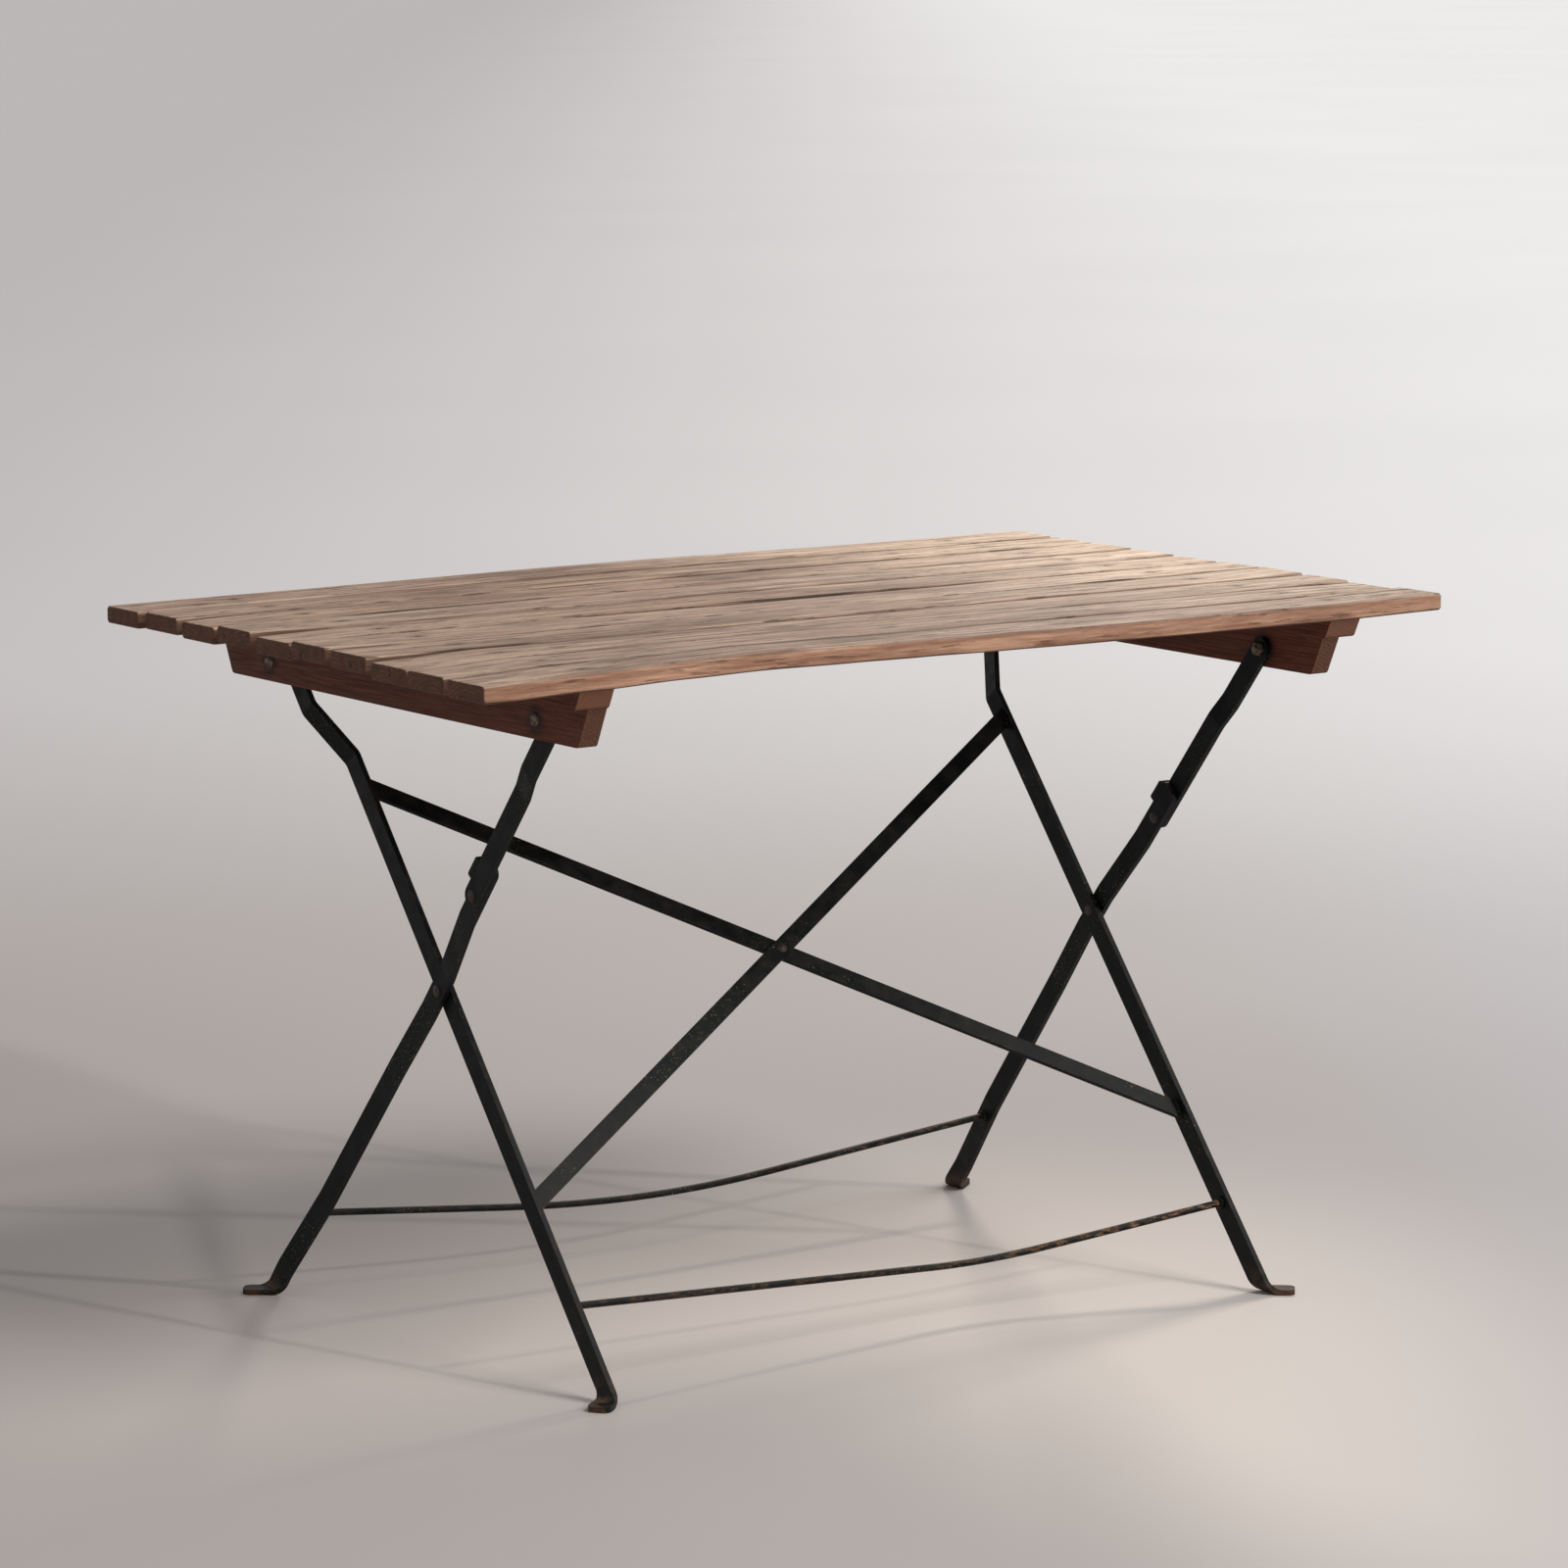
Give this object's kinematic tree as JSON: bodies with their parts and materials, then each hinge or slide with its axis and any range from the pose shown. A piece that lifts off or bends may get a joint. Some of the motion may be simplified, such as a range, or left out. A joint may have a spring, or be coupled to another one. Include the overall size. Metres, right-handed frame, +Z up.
{
  "type": "folding table",
  "caption": "Folding garden table: long weathered wooden slats on two end rails, crossed flat-iron legs with diagonal braces, bowed tie rods and folding links.",
  "frame": {"origin": "middle of the open table's bounding box, on the floor", "axes": "+X along the slats to the right end, +Y to the back (where frame B's feet stand), +Z up"},
  "size_m": [1.18, 0.7518, 0.745],
  "materials": {
    "slat_wood": "weathered bare softwood, greyed on top, warmer on the edges",
    "rail_wood": "sheltered wood, reddish brown, matt",
    "screw_steel": "tarnished steel",
    "bolt_steel": "dull worn steel",
    "iron_paint": "old black-green paint, satin, worn at the edges",
    "rod_paint": "thin worn black paint on round rod",
    "rivet_iron": "dark iron with brown rust"
  },
  "bodies": {
    "top": {"slat_01": "slat_wood", "slat_02": "slat_wood", "slat_03": "slat_wood", "slat_04": "slat_wood", "slat_05": "slat_wood", "slat_06": "slat_wood", "slat_07": "slat_wood", "slat_08": "slat_wood", "slat_09": "slat_wood", "slat_10": "slat_wood", "ledger_left": "rail_wood", "ledger_right": "rail_wood", "batten_left": "rail_wood", "batten_right": "rail_wood", "slat_screws_left": "screw_steel", "slat_screws_right": "screw_steel", "batten_screws_left": "screw_steel", "batten_screws_right": "screw_steel", "pivot_bolt_a_left": "bolt_steel", "pivot_bolt_a_right": "bolt_steel", "pivot_bolt_link_left": "bolt_steel", "pivot_bolt_link_right": "bolt_steel", "pivot_nut_a_left": "bolt_steel", "pivot_nut_a_right": "bolt_steel", "pivot_nut_link_left": "bolt_steel", "pivot_nut_link_right": "bolt_steel"},
    "frame_a": {"leg_a_left": "iron_paint", "leg_a_right": "iron_paint", "brace_1": "iron_paint", "brace_2": "iron_paint", "brace_rivet": "rivet_iron", "brace_welds": "iron_paint", "rod_a": "rod_paint", "rod_a_welds": "rod_paint", "scissor_rivet_left": "rivet_iron", "scissor_rivet_right": "rivet_iron", "scissor_washer_left": "rivet_iron", "scissor_washer_right": "rivet_iron"},
    "frame_b": {"leg_b_left": "iron_paint", "leg_b_right": "iron_paint", "rod_b": "rod_paint", "rod_b_welds": "rod_paint", "knuckle_rivet_inner_left": "rivet_iron", "knuckle_rivet_inner_right": "rivet_iron"},
    "link_arm_left": {"link_left": "iron_paint", "knuckle_rivet_outer_left": "rivet_iron"},
    "link_arm_right": {"link_right": "iron_paint", "knuckle_rivet_outer_right": "rivet_iron"}
  },
  "joints": [
    {"name": "leg_fold", "type": "hinge", "parent": "top", "child": "frame_a", "pos_m": [0, 0.262, 0.687], "axis": [1, 0, 0], "range_deg": [-45, 0]},
    {"name": "scissor", "type": "hinge", "parent": "frame_a", "child": "frame_b", "pos_m": [0, 0, 0.372], "axis": [1, 0, 0], "range_deg": [-76.02, 0]},
    {"name": "link_swing_left", "type": "hinge", "parent": "top", "child": "link_arm_left", "pos_m": [-0.4405, -0.262, 0.687], "axis": [1, 0, 0], "range_deg": [0, 46.97]},
    {"name": "link_swing_right", "type": "hinge", "parent": "top", "child": "link_arm_right", "pos_m": [0.4405, -0.262, 0.687], "axis": [1, 0, 0], "range_deg": [0, 46.97]}
  ],
  "couplings": [
    {"joint": "scissor", "follows": "leg_fold", "ratio": 1.6891},
    {"joint": "link_swing_left", "follows": "leg_fold", "ratio": -1.0435},
    {"joint": "link_swing_right", "follows": "leg_fold", "ratio": -1.0435}
  ]
}
